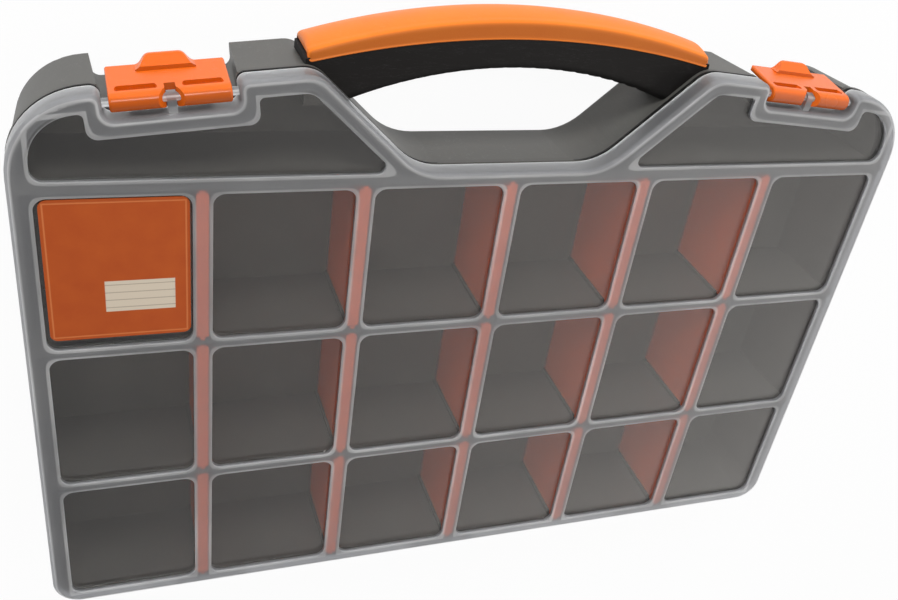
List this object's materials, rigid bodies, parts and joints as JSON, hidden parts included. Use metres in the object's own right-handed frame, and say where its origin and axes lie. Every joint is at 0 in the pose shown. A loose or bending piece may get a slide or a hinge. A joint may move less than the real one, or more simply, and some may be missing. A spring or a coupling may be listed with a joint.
{
  "type": "small parts organizer",
  "caption": "Flat carrying case for small parts: clear hinged lid with sunken panes over divided compartments, two snap latches and an arched handle.",
  "frame": {"origin": "bottom centre of the whole part's box, on the surface that the closed case lies on", "axes": "+X across the case to the right seen through the lid, +Y towards the handle, +Z out through the lid"},
  "size_m": [0.382, 0.2826, 0.05],
  "materials": {
    "tray_grey": "fine-grained dark grey moulding",
    "lid_clear": "clear panes, frosted ribs and rim",
    "latch_orange": "satin orange moulding",
    "handle_black": "matt black moulding",
    "grip_orange": "soft satin orange grip",
    "label_card": "blank orange card",
    "divider_orange": "smooth orange moulding"
  },
  "bodies": {
    "case": {"case_body": "tray_grey", "handle_core": "handle_black", "handle_grip": "grip_orange", "divider_r1_c1": "divider_orange", "divider_r1_c2": "divider_orange", "divider_r1_c3": "divider_orange", "divider_r1_c4": "divider_orange", "divider_r1_c5": "divider_orange", "divider_r2_c1": "divider_orange", "divider_r2_c2": "divider_orange", "divider_r2_c3": "divider_orange", "divider_r2_c4": "divider_orange", "divider_r2_c5": "divider_orange", "divider_r3_c1": "divider_orange", "divider_r3_c2": "divider_orange", "divider_r3_c3": "divider_orange", "divider_r3_c4": "divider_orange", "divider_r3_c5": "divider_orange"},
    "lid": {"lid": "lid_clear", "label": "label_card"},
    "latch_left": {"latch_left": "latch_orange"},
    "latch_right": {"latch_right": "latch_orange"}
  },
  "joints": [
    {"name": "lid_hinge", "type": "hinge", "parent": "case", "child": "lid", "pos_m": [0, -0.1381, 0.0401], "axis": [1, 0, 0], "range_deg": [0, 180]},
    {"name": "latch_left_hinge", "type": "hinge", "parent": "lid", "child": "latch_left", "pos_m": [-0.1347, 0.11216, 0.0452], "axis": [0.9951, 0.0993, 0], "range_deg": [0, 110]},
    {"name": "latch_right_hinge", "type": "hinge", "parent": "lid", "child": "latch_right", "pos_m": [0.1347, 0.11216, 0.0452], "axis": [0.9951, -0.0993, 0], "range_deg": [0, 110]}
  ]
}
